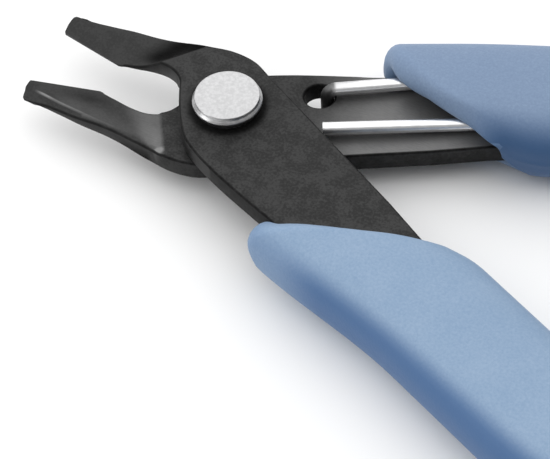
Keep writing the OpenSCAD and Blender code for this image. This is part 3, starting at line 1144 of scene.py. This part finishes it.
@dataclass
class Pivot:
    """The headed barrel, the slotted screw that closes it from the back, and the washer."""

    bright: bpy.types.Material
    zinc: bpy.types.Material
    barrel_r: float = 2.75
    bore_r: float = 1.65
    bore_top: float = 1.4
    screw_r: float = 1.6
    slot_w: float = 0.9
    slot_d: float = 0.7

    def bolt(self) -> bpy.types.Object:
        """The bolt: flat head with a rounded border, and the barrel with its blind bore."""
        r, top, under = HEAD_R, HEAD_TOP, PLATE_T
        head = [(0.7, -0.03), (0.57, 0), (0.4, 0), (0.34, -0.03), (0.3, -0.11), (0.3, -0.42), (0.24, -0.5),
                (0.1, -0.61), (0.02, -0.74), (0, -0.86), (0.03, -1.0), (0.2, -1.18)]
        profile = [(0, top - 0.03)] + [(r - dr, top + dz) for dr, dz in head]
        profile += [(r - 0.5, under + 0.2), (r - 0.5, under), (self.barrel_r, under),
                    (self.barrel_r, BARREL_END + 0.1), (self.barrel_r - 0.1, BARREL_END),
                    (self.bore_r + 0.1, BARREL_END), (self.bore_r, BARREL_END + 0.1),
                    (self.bore_r, self.bore_top), (0, self.bore_top + 0.3)]
        piece = lathe("pivot_bolt_turned", profile, self.bright)
        crisp(piece, 40)
        return piece

    def screw(self) -> bpy.types.Object:
        """The rear screw, turned and then slotted across its head."""
        r, low = SCREW_HEAD_R, SCREW_END
        seat = BARREL_END
        profile = [(0, low), (r - 0.75, low), (r - 0.45, low + 0.08), (r - 0.18, low + 0.25),
                   (r - 0.04, low + 0.48), (r, low + 0.7), (r, seat - 0.12), (r - 0.1, seat),
                   (self.screw_r, seat), (self.screw_r, self.bore_top - 0.7),
                   (self.screw_r - 0.3, self.bore_top - 0.4), (0, self.bore_top - 0.4)]
        piece = lathe("pivot_screw_turned", profile, self.bright)
        bm = bmesh.new()
        bmesh.ops.create_cube(bm, size=1.0, matrix=Matrix.LocRotScale(
            Vector((0, 0, low)) * MM, None, Vector((3 * r, self.slot_w, 2 * self.slot_d)) * MM))
        cutter_mesh = bpy.data.meshes.new("slot_cutter")
        bm.to_mesh(cutter_mesh)
        bm.free()
        cutter = into_scene("slot_cutter", cutter_mesh)
        cut = piece.modifiers.new("slot", "BOOLEAN")
        cut.object, cut.operation, cut.solver = cutter, "DIFFERENCE", "EXACT"
        soften = piece.modifiers.new("soften", "BEVEL")
        soften.width, soften.segments, soften.limit_method = 0.05 * MM, 2, "ANGLE"
        soften.angle_limit = math.radians(50)
        shape = settled_mesh(piece)
        piece.modifiers.clear()
        piece.data = shape
        bpy.data.objects.remove(cutter)
        turn_outwards(piece)
        crisp(piece, 35)
        return piece

    def washer(self) -> bpy.types.Object:
        """The rear washer, with its two edges broken."""
        r, low, high = WASHER_R, BARREL_END, -PLATE_T
        hole = self.barrel_r + 0.05
        profile = [(hole, low + 0.05), (hole + 0.08, low), (r - 0.15, low), (r - 0.04, low + 0.05),
                   (r, low + 0.16), (r, high - 0.1), (r - 0.06, high), (hole + 0.05, high),
                   (hole, high - 0.05)]
        piece = lathe("rear_washer_pressed", profile, self.zinc)
        crisp(piece, 40)
        return piece


# ---------- surroundings

@dataclass
class Studio:
    """Plain pale floor, soft lights and the camera."""

    azimuth: float = math.radians(30.23)
    elevation: float = math.radians(49.64)
    roll: float = math.radians(-4.0)
    distance: float = 309.83
    shift: Point2 = (-5.457, 12.982)
    lens: float = 170.2
    floor_size: float = 3000.0
    floor_gap: float = 0.2
    fill: float = 0.34

    def camera(self) -> None:
        """Makes the camera that looks at the pivot from above the front handle."""
        az, el = self.azimuth, self.elevation
        back = Vector((math.sin(az) * math.cos(el), -math.cos(az) * math.cos(el), math.sin(el)))
        right = Vector((math.cos(az), math.sin(az), 0))
        up = back.cross(right)
        c, s = math.cos(self.roll), math.sin(self.roll)
        across, upward = c * right + s * up, -s * right + c * up
        place = -(self.shift[0] * across + self.shift[1] * upward - self.distance * back)
        data = bpy.data.cameras.new("camera")
        data.lens, data.sensor_width = self.lens, 36.0
        data.clip_start, data.clip_end = 0.01, 10.0
        camera = into_scene("camera", data)
        axes = Matrix((across, upward, back)).transposed().to_4x4()
        camera.matrix_world = Matrix.Translation(place * MM) @ axes
        bpy.context.scene.camera = camera

    def floor(self) -> None:
        """Makes the pale floor that the cutter lies on."""
        shop = Shop("pale_floor")
        cloud = shop.noise(shop.place(), 60.0, 2)
        shop.set(Base_Color=shop.mix(cloud, (0.90, 0.90, 0.90), (0.93, 0.93, 0.93)), Roughness=0.9)
        half, z = self.floor_size / 2 * MM, REST_LOW_Z - self.floor_gap * MM
        corners = [Vector((x * half, y * half, z)) for x, y in ((-1, -1), (1, -1), (1, 1), (-1, 1))]
        new_piece("floor", corners, [[0, 1, 2, 3]], shop.material)

    def light(self, name: str, place: Point3, size: float, power: float) -> None:
        """Makes a square area light that faces the pivot.

        Args:
            name: the light's name.
            place: its place in millimetres.
            size: its side in millimetres.
            power: its power in watts.
        """
        data = bpy.data.lights.new(name, "AREA")
        data.size, data.energy = size * MM, power
        lamp = into_scene(name, data)
        at = Vector(place) * MM
        lamp.matrix_world = Matrix.Translation(at) @ at.to_track_quat("Z", "Y").to_matrix().to_4x4()

    def build(self) -> None:
        """Makes the world, the lights, the floor and the camera."""
        scene = bpy.context.scene
        scene.view_settings.view_transform = "Standard"
        world = bpy.data.worlds.new("studio")
        world.use_nodes = True
        background = world.node_tree.nodes["Background"]
        background.inputs["Color"].default_value = (1, 1, 1, 1)
        background.inputs["Strength"].default_value = self.fill
        scene.world = world
        self.light("sky_panel", (-260, 260, 1000), 3200, 38.0)
        self.light("low_left", (-400, -430, 170), 220, 0.75)
        self.floor()
        self.camera()


# ---------- assembly

@dataclass
class Cutter:
    """The whole tool: builds every piece and seats it on its CAD body."""

    pieces: int = 0

    def seat(self, piece: bpy.types.Object, body: str, slot: str, *nodes: str) -> None:
        """Makes a finished piece ride on a body and stand for CAD nodes."""
        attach(piece, body)
        self.note(piece, slot, *nodes)

    def note(self, piece: bpy.types.Object, slot: str, *nodes: str) -> None:
        """Hides the CAD nodes that a piece stands for, counts the piece and reports it."""
        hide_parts(*nodes)
        self.pieces += 1
        LOG.info("%s: %d faces, stands for %s", piece.name, len(piece.data.polygons), ", ".join(nodes))

    def build(self) -> None:
        """Builds the levers, the grips, the pivot and the spring."""
        steel, bright = BlackOxide().make(), SatinSteel().make()
        zinc, wire, vinyl = PlainZinc().make(), DrawnWire().make(), CushionVinyl().make()
        for side in Side:
            name = side.name.lower()
            self.seat(Lever(side, steel).build(), side.value, "blackened_steel", f"{name}_lever")
            self.seat(Grip(side, vinyl).build(), side.value, "cushion_grip", f"{name}_grip")
        pivot = Pivot(bright, zinc)
        self.seat(pivot.bolt(), Side.REAR.value, "bright_steel", "pivot_bolt")
        self.seat(pivot.screw(), Side.REAR.value, "bright_steel", "pivot_screw")
        self.seat(pivot.washer(), Side.REAR.value, "washer_steel", "rear_washer")
        self.spring(ReturnSpring(wire))

    def spring(self, spring: ReturnSpring) -> None:
        """Builds the wire as one fixed piece that stands for its two CAD halves."""
        piece = spring.build()
        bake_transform(piece)
        self.note(piece, "spring_wire", "spring_anchor_leg", "spring_moving_leg")


def main() -> None:
    """Builds the studio and the cutter."""
    logging.basicConfig(level=logging.INFO, format="%(name)s %(message)s")
    Studio().build()
    cutter = Cutter()
    cutter.build()
    LOG.info("%d pieces", cutter.pieces)


if __name__ == "__main__":
    main()
